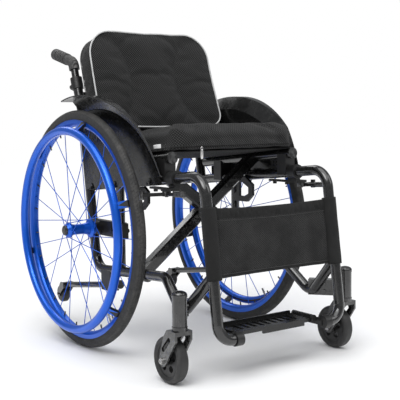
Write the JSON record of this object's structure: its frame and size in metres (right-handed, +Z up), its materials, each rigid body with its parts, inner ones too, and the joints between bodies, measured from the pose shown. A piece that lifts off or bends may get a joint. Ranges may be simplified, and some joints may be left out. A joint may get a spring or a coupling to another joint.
{
  "type": "folding manual wheelchair",
  "caption": "Folding manual wheelchair with spoked rear wheels, handrims, swivel casters, cross brace, padded seat and back, footplate and anti-tip arms.",
  "frame": {"origin": "middle of the chair's outline on the floor", "axes": "+X across the chair to the user's left, the chair faces -Y, +Z up"},
  "size_m": [0.581, 0.8024, 0.79],
  "materials": {
    "frame": "gloss black paint",
    "trim": "satin black plastic",
    "blue": "blue anodised",
    "tyre": "dark grey rubber",
    "grip": "ribbed grey rubber",
    "steel": "brushed",
    "mesh": "dark grey spacer mesh",
    "sling": "black nylon",
    "caster": "black rubber"
  },
  "bodies": {
    "right_frame": {"right_upper_tube": "frame", "right_rear_tube": "frame", "right_axle_plate": "trim", "right_caster_housing": "trim", "right_side_guard": "trim", "right_rail_brackets": "trim", "right_foot_clamp": "trim", "right_post_collar": "trim", "right_tip_socket": "trim", "right_axle": "steel", "right_brake_body": "trim", "back_sling": "sling", "back_cushion": "mesh", "calf_strap": "sling"},
    "left_frame": {"left_upper_tube": "frame", "left_rear_tube": "frame", "left_axle_plate": "trim", "left_caster_housing": "trim", "left_side_guard": "trim", "left_rail_brackets": "trim", "left_foot_clamp": "trim", "left_post_collar": "trim", "left_tip_socket": "trim", "left_axle": "steel", "left_brake_body": "trim"},
    "cross_arm_a": {"cross_bar_a": "frame", "cross_bolt": "steel"},
    "cross_arm_b": {"cross_bar_b": "frame"},
    "seat": {"seat_sling": "sling", "seat_cushion": "mesh"},
    "footrest": {"footplate": "trim"},
    "right_wheel": {"right_hub": "blue", "right_spokes": "blue", "right_rim": "blue", "right_tyre": "tyre", "right_handrim": "blue"},
    "right_handle": {"right_push_handle": "frame", "right_grip": "grip"},
    "right_caster": {"right_caster_fork": "frame", "right_caster_bolt": "steel"},
    "right_caster_wheel": {"right_caster_hub": "trim", "right_caster_tyre": "caster"},
    "right_lock": {"right_brake_lever": "trim"},
    "right_tip_arm": {"right_tip_tube": "steel"},
    "right_tip_roller": {"right_tip_wheel": "caster"},
    "left_wheel": {"left_hub": "blue", "left_spokes": "blue", "left_rim": "blue", "left_tyre": "tyre", "left_handrim": "blue"},
    "left_handle": {"left_push_handle": "frame", "left_grip": "grip"},
    "left_caster": {"left_caster_fork": "frame", "left_caster_bolt": "steel"},
    "left_caster_wheel": {"left_caster_hub": "trim", "left_caster_tyre": "caster"},
    "left_lock": {"left_brake_lever": "trim"},
    "left_tip_arm": {"left_tip_tube": "steel"},
    "left_tip_roller": {"left_tip_wheel": "caster"}
  },
  "joints": [
    {"name": "fold", "type": "hinge", "parent": "right_frame", "child": "cross_arm_a", "pos_m": [-0.18, -0.10775, 0.20285], "axis": [0, -0.9976, 0.0698], "range_deg": [0, 33.6], "deforming": ["seat_sling", "seat_cushion", "back_sling", "back_cushion", "calf_strap"]},
    {"name": "cross_pivot", "type": "hinge", "parent": "cross_arm_a", "child": "cross_arm_b", "pos_m": [0, -0.09839, 0.33666], "axis": [0, 0.9976, -0.0698], "range_deg": [0, 67.2]},
    {"name": "left_hinge", "type": "hinge", "parent": "cross_arm_b", "child": "left_frame", "pos_m": [0.18, -0.10775, 0.20285], "axis": [0, -0.9976, 0.0698], "range_deg": [0, 33.6]},
    {"name": "seat_lift", "type": "slide", "parent": "right_frame", "child": "seat", "axis": [0, 0.0698, 0.9976], "range_m": [0, 0.1544]},
    {"name": "footplate_flip", "type": "hinge", "parent": "left_frame", "child": "footrest", "pos_m": [0.112, -0.33575, 0.104], "axis": [0, 1, 0], "range_deg": [0, 88]},
    {"name": "right_wheel_spin", "type": "hinge", "parent": "right_frame", "child": "right_wheel", "pos_m": [-0.243, 0.10425, 0.297], "axis": [1, 0, 0], "continuous": true},
    {"name": "right_handle_height", "type": "slide", "parent": "right_frame", "child": "right_handle", "axis": [0, 0.309, 0.9511], "range_m": [0, 0.06]},
    {"name": "right_caster_swivel", "type": "hinge", "parent": "right_frame", "child": "right_caster", "pos_m": [-0.246, -0.33475, 0.15], "axis": [0, 0, 1], "continuous": true},
    {"name": "right_caster_roll", "type": "hinge", "parent": "right_caster", "child": "right_caster_wheel", "pos_m": [-0.246, -0.29975, 0.052], "axis": [1, 0, 0], "continuous": true},
    {"name": "right_wheel_lock", "type": "hinge", "parent": "right_frame", "child": "right_lock", "pos_m": [-0.202, -0.22575, 0.40463], "axis": [0, 0, -1], "range_deg": [0, 24]},
    {"name": "right_tip_swing", "type": "hinge", "parent": "right_frame", "child": "right_tip_arm", "pos_m": [-0.18, 0.02625, 0.16], "axis": [0, 0.9892, -0.1468], "range_deg": [0, 180]},
    {"name": "right_tip_roll", "type": "hinge", "parent": "right_tip_arm", "child": "right_tip_roller", "pos_m": [-0.18, 0.32925, 0.092], "axis": [1, 0, 0], "continuous": true},
    {"name": "left_wheel_spin", "type": "hinge", "parent": "left_frame", "child": "left_wheel", "pos_m": [0.243, 0.10425, 0.297], "axis": [1, 0, 0], "continuous": true},
    {"name": "left_handle_height", "type": "slide", "parent": "left_frame", "child": "left_handle", "axis": [0, 0.309, 0.9511], "range_m": [0, 0.06]},
    {"name": "left_caster_swivel", "type": "hinge", "parent": "left_frame", "child": "left_caster", "pos_m": [0.246, -0.33475, 0.15], "axis": [0, 0, 1], "continuous": true},
    {"name": "left_caster_roll", "type": "hinge", "parent": "left_caster", "child": "left_caster_wheel", "pos_m": [0.246, -0.29975, 0.052], "axis": [1, 0, 0], "continuous": true},
    {"name": "left_wheel_lock", "type": "hinge", "parent": "left_frame", "child": "left_lock", "pos_m": [0.202, -0.22575, 0.40463], "axis": [0, 0, 1], "range_deg": [0, 24]},
    {"name": "left_tip_swing", "type": "hinge", "parent": "left_frame", "child": "left_tip_arm", "pos_m": [0.18, 0.02625, 0.16], "axis": [0, 0.9892, -0.1468], "range_deg": [0, 180]},
    {"name": "left_tip_roll", "type": "hinge", "parent": "left_tip_arm", "child": "left_tip_roller", "pos_m": [0.18, 0.32925, 0.092], "axis": [1, 0, 0], "continuous": true}
  ],
  "couplings": [
    {"joint": "cross_pivot", "follows": "fold", "ratio": 2},
    {"joint": "left_hinge", "follows": "fold", "ratio": 1},
    {"joint": "seat_lift", "follows": "fold", "m_per_rad": 0.26328},
    {"joint": "footplate_flip", "follows": "fold", "ratio": 2.619}
  ]
}
